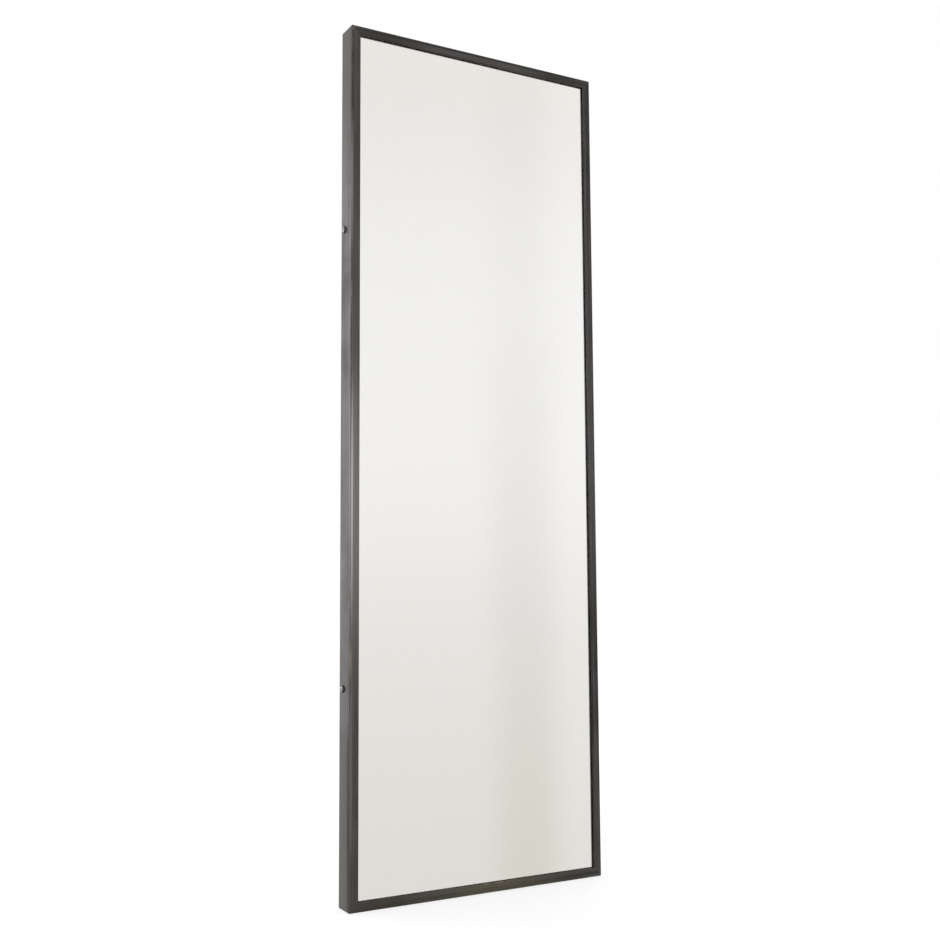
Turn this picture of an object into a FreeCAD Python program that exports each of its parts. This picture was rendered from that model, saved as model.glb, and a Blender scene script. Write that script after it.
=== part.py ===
import FreeCAD
import Part
import Sketcher
import math
import os
import re

# Full-length wall mirror in a welded frame of folded steel, made as a shallow tray. The glass lies
# behind the frame's front lip, a plywood board backs it, and a timber sub-frame, held by two dome-head
# screws in each side of the steel, keeps them in the tray. Two strap hangers with swinging rings carry
# the mirror on the wall.
# X runs to the right along the mirror as seen from the front, Y runs back into the wall, Z runs up.
# The origin is on the wall, in the middle of the bottom edge of the frame's back rim.

# Driving sizes in millimetres. Shares are plain ratios.
SIZES = {
    # welded steel frame
    "frame_height": 1800.0,
    "frame_width": 600.0,
    "frame_depth": 50.0,
    "face_width": 20.0,
    "steel_thickness": 2.0,
    "bend_inner_radius": 1.0,
    "corner_radius": 3.0,
    "cut_overrun": 5.0,
    # fillet welds in the four inner corners
    "weld_leg": 3.5,
    "weld_crown_share": 0.2,
    "weld_lead": 9.0,
    "weld_stop": 1.5,
    # glazing tape between the lip and the glass
    "tape_thickness": 0.5,
    "tape_width": 9.0,
    "tape_setback": 2.0,
    # mirror glass, its silvered and filmed back, and the foam pads that bond it to the board
    "glass_thickness": 4.0,
    "glass_gap": 3.0,
    "glass_arris": 0.5,
    "backing_thickness": 0.2,
    "backing_margin": 1.0,
    "pad_thickness": 1.0,
    "pad_width": 25.0,
    "pad_spacing": 200.0,
    "pad_end_margin": 90.0,
    # rubber blocks between the edge of the glass and the steel
    "block_length": 60.0,
    "block_depth": 4.0,
    "block_place_share": 0.25,
    # plywood back board
    "board_thickness": 9.0,
    "board_gap": 3.0,
    # timber sub-frame
    "timber_thickness": 27.0,
    "timber_width": 45.0,
    "timber_side_gap": 0.5,
    "timber_end_gap": 5.0,
    "timber_arris": 1.5,
    # dowels that join the timber rails to the timber stiles
    "dowel_diameter": 8.0,
    "dowel_length": 50.0,
    "dowel_chamfer": 1.0,
    "dowel_spacing": 22.0,
    "dowel_clearance": 0.05,
    "dowel_end_room": 1.0,
    # dome-head screws through the sides of the steel frame
    "side_screw_inset": 430.0,
    "side_screw_depth": 34.0,
    "side_head_diameter": 16.0,
    "side_head_height": 5.2,
    "side_head_edge": 1.0,
    "side_shank_diameter": 8.0,
    "side_screw_length": 38.0,
    "side_tip_length": 8.0,
    "side_hole_clearance": 0.3,
    "side_recess_span": 7.6,
    "side_recess_width": 1.8,
    "side_recess_depth": 2.6,
    # countersunk screws that hold the board to the timber
    "board_head_diameter": 7.0,
    "board_head_height": 2.2,
    "board_shank_diameter": 3.5,
    "board_screw_length": 25.0,
    "board_tip_length": 4.0,
    "board_recess_span": 4.0,
    "board_recess_width": 0.9,
    "board_recess_depth": 1.4,
    "board_screw_inset": 150.0,
    "board_screw_spacing": 250.0,
    "screw_clearance": 0.05,
    # strap hangers, their rings and their screws
    "hanger_drop": 350.0,
    "strap_thickness": 1.0,
    "strap_width": 14.0,
    "strap_length": 46.0,
    "hanger_screw_first": 25.0,
    "hanger_screw_pitch": 13.0,
    "hanger_head_diameter": 8.0,
    "hanger_head_height": 2.4,
    "hanger_head_edge": 0.6,
    "hanger_shank_diameter": 4.0,
    "hanger_screw_length": 20.0,
    "hanger_tip_length": 4.0,
    "hanger_recess_span": 4.2,
    "hanger_recess_width": 1.0,
    "hanger_recess_depth": 1.4,
    "ring_wire": 3.0,
    "ring_inside_width": 22.0,
    "ring_corner_radius": 3.5,
    "ring_leg": 1.5,
    "ring_clearance": 0.05,
    "ring_rest_gap": 0.3,
}

BOARD_SCREW_ROWS = 4

# An arc whose chord passes its centre within this share of its radius is a half circle.
HALF_CIRCLE_SHARE = 0.001

# Places and sizes that follow from the driving sizes.
PLACES = {
    "bend_radius": "bend_inner_radius + steel_thickness",
    "front": "-frame_depth",
    "lip_back": "front + steel_thickness",
    "glass_front": "lip_back + tape_thickness",
    "glass_back": "glass_front + glass_thickness",
    "backing_back": "glass_back + backing_thickness",
    "board_front": "backing_back + pad_thickness",
    "board_back": "board_front + board_thickness",
    "timber_back": "board_back + timber_thickness",
    "timber_middle": "(board_back + timber_back) / 2",
    "inside_x": "frame_width / 2 - steel_thickness",
    "inside_top": "frame_height - steel_thickness",
    "tape_inner": "face_width - tape_setback",
    "tape_outer": "tape_inner - tape_width",
    "glass_x": "inside_x - glass_gap",
    "glass_bottom": "steel_thickness + glass_gap",
    "glass_top": "frame_height - glass_bottom",
    "glass_height": "glass_top - glass_bottom",
    "backing_x": "glass_x - backing_margin",
    "block_front": "front + bend_radius",
    "block_x": "glass_x - 2 * glass_x * block_place_share",
    "block_low_z": "glass_bottom + glass_height * block_place_share",
    "block_high_z": "glass_top - glass_height * block_place_share",
    "board_x": "inside_x - board_gap",
    "board_bottom": "steel_thickness + board_gap",
    "board_top": "frame_height - board_bottom",
    "board_row_pitch": f"(frame_height - 2 * board_screw_inset) / {BOARD_SCREW_ROWS - 1}",
    "timber_outer_x": "inside_x - timber_side_gap",
    "timber_inner_x": "timber_outer_x - timber_width",
    "stile_x": "(timber_outer_x + timber_inner_x) / 2",
    "timber_bottom": "steel_thickness + timber_end_gap",
    "timber_top": "frame_height - timber_bottom",
    "low_rail_z": "timber_bottom + timber_width / 2",
    "middle_rail_z": "frame_height / 2",
    "high_rail_z": "timber_top - timber_width / 2",
    "side_screw_y": "front + side_screw_depth",
    "loop_bore": "ring_wire / 2 + ring_clearance",
    "loop_outer": "loop_bore + strap_thickness",
    "hanger_z": "frame_height - hanger_drop",
    "strap_back": "timber_back + 2 * strap_thickness",
    "ring_axis_y": "timber_back + loop_outer",
    "ring_half": "(ring_inside_width + ring_wire) / 2",
    "ring_bar": "ring_half - ring_corner_radius",
    "ring_bow": "ring_corner_radius + ring_leg",
    "ring_drop": "ring_bow + ring_half",
}

ALONG_X = FreeCAD.Vector(1, 0, 0)
ALONG_Y = FreeCAD.Vector(0, 1, 0)

doc = FreeCAD.newDocument("wall_mirror")
sheet = doc.addObject("Spreadsheet::Sheet", "Sizes")
for row, (alias, size) in enumerate(SIZES.items(), start=1):
    sheet.set(f"A{row}", alias)
    sheet.set(f"B{row}", str(size))
    sheet.setAlias(f"B{row}", alias)
doc.recompute()

nodes = []


def formula(text):
    """An expression on the sheet's cells, from words that name sizes and places."""

    def expand(match):
        word = match.group(0)
        if word in SIZES:
            return f"Sizes.{word}"
        if word in PLACES:
            return f"({formula(PLACES[word])})"
        return word

    return re.sub(r"[a-z_]+", expand, text)


def value(text):
    return float(sheet.evalExpression(formula(text)))


def bind(feature, **formulas):
    for name, text in formulas.items():
        feature.setExpression(name, formula(text))


def place(feature, x="0", y="0", z="0", axis=ALONG_Y, angle=0):
    """Puts a feature at a point that follows the sheet, turned by an angle."""
    feature.Placement = FreeCAD.Placement(FreeCAD.Vector(), FreeCAD.Rotation(axis, angle))
    for letter, text in zip("xyz", (x, y, z)):
        feature.setExpression(f"Placement.Base.{letter}", formula(text))


def node(feature, label):
    feature.Label = label
    nodes.append(feature)
    return feature


def body(label):
    feature = doc.addObject("PartDesign::Body", label)
    feature.Label = label
    return feature


def sketch_on(owner, name, role, lift=None):
    """A sketch on one of a body's origin planes, lifted along the plane's normal."""
    sketch = owner.newObject("Sketcher::SketchObject", name)
    plane = next(f for f in owner.Origin.OriginFeatures if f.Role == role)
    sketch.AttachmentSupport = [(plane, "")]
    sketch.MapMode = "FlatFace"
    if lift:
        sketch.setExpression("AttachmentOffset.Base.z", formula(lift))
    return sketch


def hold(sketch, kind, geometry, point, text):
    """Ties one coordinate of a point of a sketch to a formula."""
    constraint = Sketcher.Constraint(kind, -1, 1, geometry, point, value(text))
    index = sketch.addConstraint(constraint)
    sketch.setExpression(f"Constraints[{index}]", formula(text))


def outline(sketch, corners):
    """A closed outline through corners (u, v). A corner (u, v, cu, cv) ends an arc about (cu, cv)."""
    points = [FreeCAD.Vector(value(c[0]), value(c[1]), 0) for c in corners]
    ends = []
    for corner, start, end in zip(corners[1:] + corners[:1], points, points[1:] + points[:1]):
        if len(corner) == 2:
            curve = Part.LineSegment(start, end)
        else:
            centre = FreeCAD.Vector(value(corner[2]), value(corner[3]), 0)
            radius = (start - centre).Length
            out = (start + end) / 2 - centre
            if out.Length < radius * HALF_CIRCLE_SHARE:
                out = FreeCAD.Vector(start.y - end.y, end.x - start.x, 0)
            curve = Part.Arc(start, centre + out * (radius / out.Length), end)
        index = sketch.addGeometry(curve, False)
        first_off = (sketch.getPoint(index, 1) - start).Length
        second_off = (sketch.getPoint(index, 2) - start).Length
        ends.append((index, 1, 2) if first_off < second_off else (index, 2, 1))
        if len(corner) == 4:
            hold(sketch, "DistanceY", index, 3, corner[3])
    for here, after in zip(ends, ends[1:] + ends[:1]):
        sketch.addConstraint(Sketcher.Constraint("Coincident", here[0], here[2], after[0], after[1]))
    for (index, start, _), corner in zip(ends, corners):
        hold(sketch, "DistanceX", index, start, corner[0])
        hold(sketch, "DistanceY", index, start, corner[1])


def rectangle(u_span, v_span):
    (left, right), (low, high) = u_span, v_span
    return [(left, low), (right, low), (right, high), (left, high)]


def circle(sketch, u, v, diameter):
    centre = FreeCAD.Vector(value(u), value(v), 0)
    round_line = Part.Circle(centre, FreeCAD.Vector(0, 0, 1), value(diameter) / 2)
    index = sketch.addGeometry(round_line, False)
    constraint = sketch.addConstraint(Sketcher.Constraint("Diameter", index, value(diameter)))
    sketch.setExpression(f"Constraints[{constraint}]", formula(diameter))
    hold(sketch, "DistanceX", index, 3, u)
    hold(sketch, "DistanceY", index, 3, v)


def extrude(owner, kind, name, sketch, length, both_ways=False, turned=False):
    """A Pad or a Pocket of a sketch."""
    feature = owner.newObject(f"PartDesign::{kind}", name)
    feature.Profile = sketch
    feature.SideType = "Symmetric" if both_ways else "One side"
    feature.Reversed = turned
    bind(feature, Length=length)
    return feature


def prism(label, corners, depth):
    """An outline in the plane of the mirror, made solid towards the wall."""
    form = body(label)
    face = sketch_on(form, "outline", "XZ_Plane")
    outline(face, corners)
    extrude(form, "Pad", "depth", face, depth, turned=True)
    return form


def turned_form(label, corners):
    """A profile (radius, height) turned about the upright axis."""
    form = body(label)
    profile = sketch_on(form, "profile", "XZ_Plane")
    outline(profile, corners)
    feature = form.newObject("PartDesign::Revolution", "turned")
    feature.Profile = profile
    feature.ReferenceAxis = (profile, ["V_Axis"])
    return form


def slab(label, x_span, y_span, z_span):
    """A plain box between pairs of places."""
    feature = doc.addObject("Part::Box", label)
    feature.Label = label
    for name, (low, high) in zip(("Length", "Width", "Height"), (x_span, y_span, z_span)):
        feature.setExpression(name, formula(f"({high}) - ({low})"))
    place(feature, x_span[0], y_span[0], z_span[0])
    return feature


def copies(label, form, places):
    """Separate copies of one form, each at a place (x, y, z, axis, angle)."""
    links = []
    for x, y, z, axis, angle in places:
        link = doc.addObject("App::Link", f"{label}_copy")
        link.LinkedObject = form
        place(link, x, y, z, axis, angle)
        links.append(link)
    group = doc.addObject("Part::Compound", label)
    group.Label = label
    group.Links = links
    return group


# Steel frame: four folded lengths, mitred at their ends, with the welded corners ground round. Each is
# drawn lying along X with its outer face down and its lip in front, then turned into its place.
def frame_member(label, length, x, z, angle):
    member = body(label)
    section = sketch_on(member, "section", "YZ_Plane")
    outline(section, [
        ("0", "0"),
        ("front + bend_radius", "0"),
        ("front", "bend_radius", "front + bend_radius", "bend_radius"),
        ("front", "face_width"),
        ("lip_back", "face_width"),
        ("lip_back", "bend_radius"),
        ("front + bend_radius", "steel_thickness", "front + bend_radius", "bend_radius"),
        ("0", "steel_thickness"),
    ])
    extrude(member, "Pad", "folded_length", section, length, both_ways=True)
    for name, outward, inward in (("left_mitre", "-", "+"), ("right_mitre", "", "-")):
        end = f"{outward}({length}) / 2"
        past_end = f"{outward}(({length}) / 2 + cut_overrun)"
        mitre = sketch_on(member, name, "XZ_Plane")
        outline(mitre, [
            (f"{end} {inward} corner_radius", "0"),
            (f"{end} {inward} corner_radius * (1 - sqrt(1 / 2))", "corner_radius * (1 - sqrt(1 / 2))",
             f"{end} {inward} corner_radius", "corner_radius"),
            (f"{end} {inward} (face_width + cut_overrun)", "face_width + cut_overrun"),
            (past_end, "face_width + cut_overrun"),
            (past_end, "-cut_overrun"),
            (f"{end} {inward} corner_radius", "-cut_overrun"),
        ])
        extrude(member, "Pocket", f"{name}_cut", mitre, "2 * (frame_depth + cut_overrun)", both_ways=True)
    place(member, x, "0", z, ALONG_Y, angle)
    return node(member, label)


def frame_stile(label, x, angle):
    """An upright of the frame, drilled for its two screws."""
    stile = frame_member(label, "frame_height", x, "frame_height / 2", angle)
    holes = sketch_on(stile, "screw_places", "XY_Plane")
    for side in ("-", ""):
        circle(holes, f"{side}(frame_height / 2 - side_screw_inset)", "side_screw_y",
               "side_shank_diameter + 2 * side_hole_clearance")
    extrude(stile, "Pocket", "screw_holes", holes, "2 * (steel_thickness + cut_overrun)", both_ways=True)


frame_stile("frame_left_stile", "-frame_width / 2", 90)
frame_stile("frame_right_stile", "frame_width / 2", -90)
frame_member("frame_top_rail", "frame_width", "0", "frame_height", 180)
frame_member("frame_bottom_rail", "frame_width", "0", "0", 0)

# Fillet welds: one bead along each inner corner of the tray, with a slightly rounded face.
weld_form = prism("weld_form", [
    ("0", "0"),
    ("weld_leg", "0"),
    ("0", "weld_leg", "-weld_leg * weld_crown_share", "-weld_leg * weld_crown_share"),
], "frame_depth - weld_lead - weld_stop")
weld_y = "front + weld_lead"
node(copies("corner_welds", weld_form, [
    ("-inside_x", weld_y, "steel_thickness", ALONG_Y, 0),
    ("inside_x", weld_y, "steel_thickness", ALONG_Y, -90),
    ("inside_x", weld_y, "inside_top", ALONG_Y, 180),
    ("-inside_x", weld_y, "inside_top", ALONG_Y, 90),
]), "corner_welds")

# Glazing tape: two long strips, and two short ones between them, on the back of the lip.
tape_y = ("lip_back", "glass_front")
tape_z = ("tape_outer", "frame_height - tape_outer")
tape_x = ("tape_inner - frame_width / 2", "frame_width / 2 - tape_inner")
for name, x_span, z_span in (
    ("glazing_tape_left", ("tape_outer - frame_width / 2", tape_x[0]), tape_z),
    ("glazing_tape_right", (tape_x[1], "frame_width / 2 - tape_outer"), tape_z),
    ("glazing_tape_top", tape_x, ("frame_height - tape_inner", tape_z[1])),
    ("glazing_tape_bottom", tape_x, (tape_z[0], "tape_inner")),
):
    node(slab(name, x_span, tape_y, z_span), name)

# Mirror glass with its edges arrissed, and the silvered, painted and filmed coat on its back.
glass = prism("mirror_glass", rectangle(
    ("-glass_x", "glass_x"), ("glass_bottom", "glass_top"),
), "glass_thickness")
doc.recompute()
arris = glass.newObject("PartDesign::Chamfer", "arris")
arris.Base = (glass.Group[1], [f"Edge{i + 1}" for i in range(len(glass.Shape.Edges))])
bind(arris, Size="glass_arris")
place(glass, y="glass_front")
node(glass, "mirror_glass")

node(slab(
    "silver_backing", ("-(backing_x)", "backing_x"), ("glass_back", "backing_back"),
    ("glass_bottom + backing_margin", "glass_top - backing_margin"),
), "silver_backing")

# Double-sided foam pads between the coated glass and the board.
pad_form = prism("pad_form", rectangle(
    ("-pad_width / 2", "pad_width / 2"), ("board_bottom + pad_end_margin", "board_top - pad_end_margin"),
), "pad_thickness")
node(copies("mirror_pads", pad_form, [
    (x, "backing_back", "0", ALONG_Y, 0) for x in ("-pad_spacing", "0", "pad_spacing")
]), "mirror_pads")

# Rubber blocks: two carry the bottom edge of the glass, six keep its sides and top off the steel.
block_form = prism("block_form", rectangle(
    ("-block_length / 2", "block_length / 2"), ("0", "glass_gap"),
), "block_depth")
node(copies("setting_blocks", block_form, [
    (x, "block_front", "steel_thickness", ALONG_Y, 0) for x in ("-block_x", "block_x")
]), "setting_blocks")
edge_blocks = [(x, "block_front", "inside_top", ALONG_Y, 180) for x in ("-block_x", "block_x")]
for height in ("block_low_z", "block_high_z"):
    edge_blocks.append(("-inside_x", "block_front", height, ALONG_Y, 90))
    edge_blocks.append(("inside_x", "block_front", height, ALONG_Y, -90))
node(copies("location_blocks", block_form, edge_blocks), "location_blocks")


# Screws stand on z = 0 with the head up and the point down.
def cross_recess(screw, prefix, top):
    """A cross-shaped recess sunk into the top of a head."""
    floor = sketch_on(screw, "cross", "XY_Plane", f"{top} - {prefix}_recess_depth")
    arm = f"{prefix}_recess_span / 2"
    waist = f"{prefix}_recess_width / 2"
    one_arm = [(arm, waist), (arm, f"-{waist}"), (waist, f"-{waist}")]
    corners = []
    for _ in range(4):
        corners += one_arm
        one_arm = [(v, f"-({u})") for u, v in one_arm]
    outline(floor, corners)
    extrude(screw, "Pocket", "recess", floor, f"{prefix}_recess_depth + cut_overrun", turned=True)


def dome_screw(prefix):
    """A screw with a low domed head that bears on z = 0."""
    head = f"{prefix}_head_diameter / 2"
    shank = f"{prefix}_shank_diameter / 2"
    rise = f"({prefix}_head_height - {prefix}_head_edge)"
    dome_radius = f"(({head}) ^ 2 + {rise} ^ 2) / (2 * {rise})"
    screw = turned_form(f"{prefix}_screw_form", [
        ("0", f"-{prefix}_screw_length"),
        (shank, f"{prefix}_tip_length - {prefix}_screw_length"),
        (shank, "0"),
        (head, "0"),
        (head, f"{prefix}_head_edge"),
        ("0", f"{prefix}_head_height", "0", f"{prefix}_head_height - {dome_radius}"),
    ])
    cross_recess(screw, prefix, f"{prefix}_head_height")
    return screw


def drill(prefix):
    """A straight hole for a screw's shank, from above the head's seat to just past the point."""
    radius = f"{prefix}_shank_diameter / 2 + screw_clearance"
    return turned_form(f"{prefix}_drill_form", rectangle(
        ("0", radius), (f"-{prefix}_screw_length - screw_clearance", "cut_overrun"),
    ))


# Dome-head screws through the sides of the steel into the timber stiles.
side_places = []
for height in ("side_screw_inset", "frame_height - side_screw_inset"):
    side_places.append(("-frame_width / 2", "side_screw_y", height, ALONG_Y, -90))
    side_places.append(("frame_width / 2", "side_screw_y", height, ALONG_Y, 90))
node(copies("side_screws", dome_screw("side"), side_places), "side_screws")
side_holes = copies("side_holes", drill("side"), side_places)

# Countersunk screws through the board into the timber stiles and rails, hidden behind the glass.
board_places = []
for row in range(BOARD_SCREW_ROWS):
    for x in ("-stile_x", "stile_x"):
        board_places.append((x, "board_front", f"board_screw_inset + {row} * board_row_pitch", ALONG_X, 90))
for height in ("low_rail_z", "middle_rail_z", "high_rail_z"):
    for x in ("-board_screw_spacing / 2", "board_screw_spacing / 2"):
        board_places.append((x, "board_front", height, ALONG_X, 90))
board_screw = turned_form("board_screw_form", [
    ("0", "-board_screw_length"),
    ("board_shank_diameter / 2", "board_tip_length - board_screw_length"),
    ("board_shank_diameter / 2", "-board_head_height"),
    ("board_head_diameter / 2", "0"),
    ("0", "0"),
])
cross_recess(board_screw, "board", "0")
node(copies("board_screws", board_screw, board_places), "board_screws")
board_drill = turned_form("board_drill_form", [
    ("0", "-board_screw_length - screw_clearance"),
    ("board_shank_diameter / 2 + screw_clearance", "-board_screw_length - screw_clearance"),
    ("board_shank_diameter / 2 + screw_clearance", "-board_head_height"),
    ("board_head_diameter / 2 + screw_clearance", "0"),
    ("board_head_diameter / 2 + screw_clearance", "cut_overrun"),
    ("0", "cut_overrun"),
])
board_holes = copies("board_holes", board_drill, board_places)

# Dowels across the six joints of the timber sub-frame, two in each.
dowel_places = []
for height in ("low_rail_z", "middle_rail_z", "high_rail_z"):
    for x in ("-timber_inner_x", "timber_inner_x"):
        for side in ("-", "+"):
            dowel_places.append((x, "timber_middle", f"{height} {side} dowel_spacing / 2", ALONG_Y, 90))
dowel_form = turned_form("dowel_form", [
    ("0", "-dowel_length / 2"),
    ("dowel_diameter / 2 - dowel_chamfer", "-dowel_length / 2"),
    ("dowel_diameter / 2", "dowel_chamfer - dowel_length / 2"),
    ("dowel_diameter / 2", "dowel_length / 2 - dowel_chamfer"),
    ("dowel_diameter / 2 - dowel_chamfer", "dowel_length / 2"),
    ("0", "dowel_length / 2"),
])
node(copies("rail_dowels", dowel_form, dowel_places), "rail_dowels")
dowel_drill = turned_form("dowel_drill_form", rectangle(
    ("0", "dowel_diameter / 2 + dowel_clearance"),
    ("-dowel_length / 2 - dowel_end_room", "dowel_length / 2 + dowel_end_room"),
))
dowel_holes = copies("dowel_holes", dowel_drill, dowel_places)

# Screws that hold the hangers' straps to the timber stiles, at drops below the ring's axis.
HANGER_SCREW_DROPS = ("hanger_screw_first", "hanger_screw_first + hanger_screw_pitch")
hanger_places = []
for x in ("-stile_x", "stile_x"):
    for drop in HANGER_SCREW_DROPS:
        hanger_places.append((x, "strap_back", f"hanger_z - ({drop})", ALONG_X, -90))
node(copies("hanger_screws", dome_screw("hanger"), hanger_places), "hanger_screws")
hanger_holes = copies("hanger_holes", drill("hanger"), hanger_places)

all_holes = doc.addObject("Part::Compound", "all_holes")
all_holes.Links = [side_holes, board_holes, dowel_holes, hanger_holes]


def drilled(label, blank):
    """A board or timber with every hole that passes through it."""
    cut = doc.addObject("Part::Cut", label)
    cut.Base = blank
    cut.Tool = all_holes
    return node(cut, label)


drilled("back_board", slab(
    "board_blank", ("-board_x", "board_x"), ("board_front", "board_back"), ("board_bottom", "board_top"),
))


def timber_section(low, high):
    """A timber's section (across, depth), with the two back edges eased."""
    return [
        (low, "board_back"),
        (high, "board_back"),
        (high, "timber_back - timber_arris"),
        (f"{high} - timber_arris", "timber_back"),
        (f"{low} + timber_arris", "timber_back"),
        (low, "timber_back - timber_arris"),
    ]


# Timber sub-frame: two stiles up the sides, and three rails between them.
for label, low, high in (
    ("timber_left_stile", "-timber_outer_x", "-timber_inner_x"),
    ("timber_right_stile", "timber_inner_x", "timber_outer_x"),
):
    stile_blank = body(f"{label}_blank")
    section = sketch_on(stile_blank, "section", "XY_Plane")
    outline(section, timber_section(low, high))
    extrude(stile_blank, "Pad", "length", section, "timber_top - timber_bottom")
    place(stile_blank, z="timber_bottom")
    drilled(label, stile_blank)
for label, height in (
    ("timber_bottom_rail", "low_rail_z"),
    ("timber_middle_rail", "middle_rail_z"),
    ("timber_top_rail", "high_rail_z"),
):
    rail_blank = body(f"{label}_blank")
    section = sketch_on(rail_blank, "section", "YZ_Plane")
    across = timber_section(f"{height} - timber_width / 2", f"{height} + timber_width / 2")
    outline(section, [(depth, rise) for rise, depth in across])
    extrude(rail_blank, "Pad", "length", section, "2 * timber_inner_x", both_ways=True)
    drilled(label, rail_blank)


# Strap hangers: a strip folded double round the ring's bar, with a round end and two screw holes.
def hanger_strap(label, x):
    half = "strap_width / 2"
    strap = prism(label, [
        (f"-{half}", "0"),
        (half, "0"),
        (half, f"{half} - strap_length"),
        (f"-{half}", f"{half} - strap_length", "0", f"{half} - strap_length"),
    ], "2 * strap_thickness")
    loop = sketch_on(strap, "loop", "YZ_Plane")
    circle(loop, "loop_outer", "0", "2 * loop_outer")
    extrude(strap, "Pad", "rolled_loop", loop, "strap_width", both_ways=True)
    bore = sketch_on(strap, "bore", "YZ_Plane")
    circle(bore, "loop_outer", "0", "2 * loop_bore")
    extrude(strap, "Pocket", "loop_hole", bore, "strap_width + 2 * cut_overrun", both_ways=True)
    holes = sketch_on(strap, "screw_places", "XZ_Plane")
    for drop in HANGER_SCREW_DROPS:
        circle(holes, "0", f"-({drop})", "hanger_shank_diameter + 2 * screw_clearance")
    hole_length = "2 * (2 * strap_thickness + cut_overrun)"
    extrude(strap, "Pocket", "screw_holes", holes, hole_length, both_ways=True)
    place(strap, x, "timber_back", "hanger_z")
    node(strap, label)


# Rings: bent wire in the shape of a D. The straight bar turns in the strap's loop, and the bow hangs
# down over the strap, tilted just enough to lie on it.
rest_lift = value("strap_thickness + ring_rest_gap - ring_clearance")
rest_angle = math.degrees(math.asin(rest_lift / value("ring_drop")))


def hanger_ring(label, x):
    ring = body(label)
    path = sketch_on(ring, "path", "XZ_Plane")
    outline(path, [
        ("-ring_bar", "0", "-ring_bar", "-ring_corner_radius"),
        ("ring_bar", "0"),
        ("ring_half", "-ring_corner_radius", "ring_bar", "-ring_corner_radius"),
        ("ring_half", "-ring_bow"),
        ("-ring_half", "-ring_bow", "0", "-ring_bow"),
        ("-ring_half", "-ring_corner_radius"),
    ])
    wire = sketch_on(ring, "wire", "YZ_Plane")
    circle(wire, "0", "0", "ring_wire")
    doc.recompute()
    pipe = ring.newObject("PartDesign::AdditivePipe", "bent_wire")
    pipe.Profile = wire
    pipe.Spine = (path, [f"Edge{i + 1}" for i in range(len(path.Shape.Edges))])
    place(ring, x, "ring_axis_y", "hanger_z", ALONG_X, rest_angle)
    node(ring, label)


for side, x in (("left", "-stile_x"), ("right", "stile_x")):
    hanger_strap(f"{side}_hanger_strap", x)
    hanger_ring(f"{side}_hanger_ring", x)

doc.recompute()
failed = [f.Label for f in doc.Objects if "Invalid" in f.State or "Error" in f.State]
failed += [f.Label for f in nodes if f.Shape.isNull() or not f.Shape.isValid()]
if failed:
    raise SystemExit(f"failed: {failed}")

os.makedirs("parts", exist_ok=True)
for feature in nodes:
    feature.Shape.exportStep(f"parts/{feature.Label}.step")
    print(f"{feature.Label}: {len(feature.Shape.Solids)} solids, {feature.Shape.Volume / 1000:.2f} cm3")
ring_y = value("ring_axis_y")
ring_z = value("hanger_z")
print(f"ring rest angle {rest_angle:.2f} degrees, ring axis at y {ring_y:.3f}, z {ring_z:.1f}")
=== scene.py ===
import math

import bmesh
import bpy
from mathutils import Matrix, Vector


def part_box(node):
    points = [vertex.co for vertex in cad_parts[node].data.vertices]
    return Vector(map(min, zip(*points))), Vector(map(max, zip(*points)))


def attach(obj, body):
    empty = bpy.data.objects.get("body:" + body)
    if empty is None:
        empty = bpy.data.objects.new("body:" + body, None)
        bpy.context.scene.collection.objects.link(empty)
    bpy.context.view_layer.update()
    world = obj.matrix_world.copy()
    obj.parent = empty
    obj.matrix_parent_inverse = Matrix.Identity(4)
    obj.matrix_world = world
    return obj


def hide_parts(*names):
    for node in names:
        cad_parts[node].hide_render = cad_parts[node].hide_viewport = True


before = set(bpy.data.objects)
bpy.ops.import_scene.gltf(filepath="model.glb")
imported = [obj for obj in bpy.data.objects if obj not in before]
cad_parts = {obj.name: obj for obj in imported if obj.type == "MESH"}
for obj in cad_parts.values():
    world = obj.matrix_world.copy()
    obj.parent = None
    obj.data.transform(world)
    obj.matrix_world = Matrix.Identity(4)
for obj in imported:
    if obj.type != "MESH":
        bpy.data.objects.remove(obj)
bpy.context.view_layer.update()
scene = bpy.context.scene
scene.view_settings.view_transform = "Standard"
mm = 0.001
fullTurn = 2 * math.pi
quarterTurn = math.pi / 2
origin = (0.0, 0.0, 0.0)
noiseMiddle = (0.5, 0.5, 0.5)
bothSides = (-1, 1)
print("frame loaded:", len(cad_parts), "nodes")


# node building: a dictionary gives each input a link or a plain value

def isLink(value):
    return isinstance(value, bpy.types.NodeSocket)


def setInputs(node, inputs):
    for socket, value in inputs.items():
        if isLink(value):
            node.id_data.links.new(value, node.inputs[socket])
        else:
            node.inputs[socket].default_value = value


def addNode(tree, kind, inputs=None, **settings):
    node = tree.nodes.new(kind)
    for name, value in settings.items():
        setattr(node, name, value)
    setInputs(node, inputs or {})
    return node


# adds a node to the tree that its first link comes from
def follow(kind, inputs, **settings):
    tree = next(value.id_data for value in inputs.values() if isLink(value))
    return addNode(tree, kind, inputs, **settings).outputs


def maths(operation):
    def join(a, b=0.0, clamp=False):
        return follow("ShaderNodeMath", {0: a, 1: b}, operation=operation, use_clamp=clamp)[0]
    return join


def vectorMaths(operation):
    def join(a, b):
        return follow("ShaderNodeVectorMath", {0: a, 1: b}, operation=operation)[0]
    return join


basicSums = ("ADD", "SUBTRACT", "MULTIPLY", "DIVIDE")
plus, minus, times, per = (maths(name) for name in basicSums)
vectorPlus, vectorMinus, vectorTimes, vectorPer = (vectorMaths(name) for name in basicSums)
least, most, absolute, angle = (maths(name) for name in ("MINIMUM", "MAXIMUM", "ABSOLUTE", "ARCTAN2"))


def lengthOf(vector):
    return follow("ShaderNodeVectorMath", {0: vector}, operation="LENGTH")["Value"]


def scaled(vector, factor):
    return follow("ShaderNodeVectorMath", {0: vector, "Scale": factor}, operation="SCALE")[0]


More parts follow.
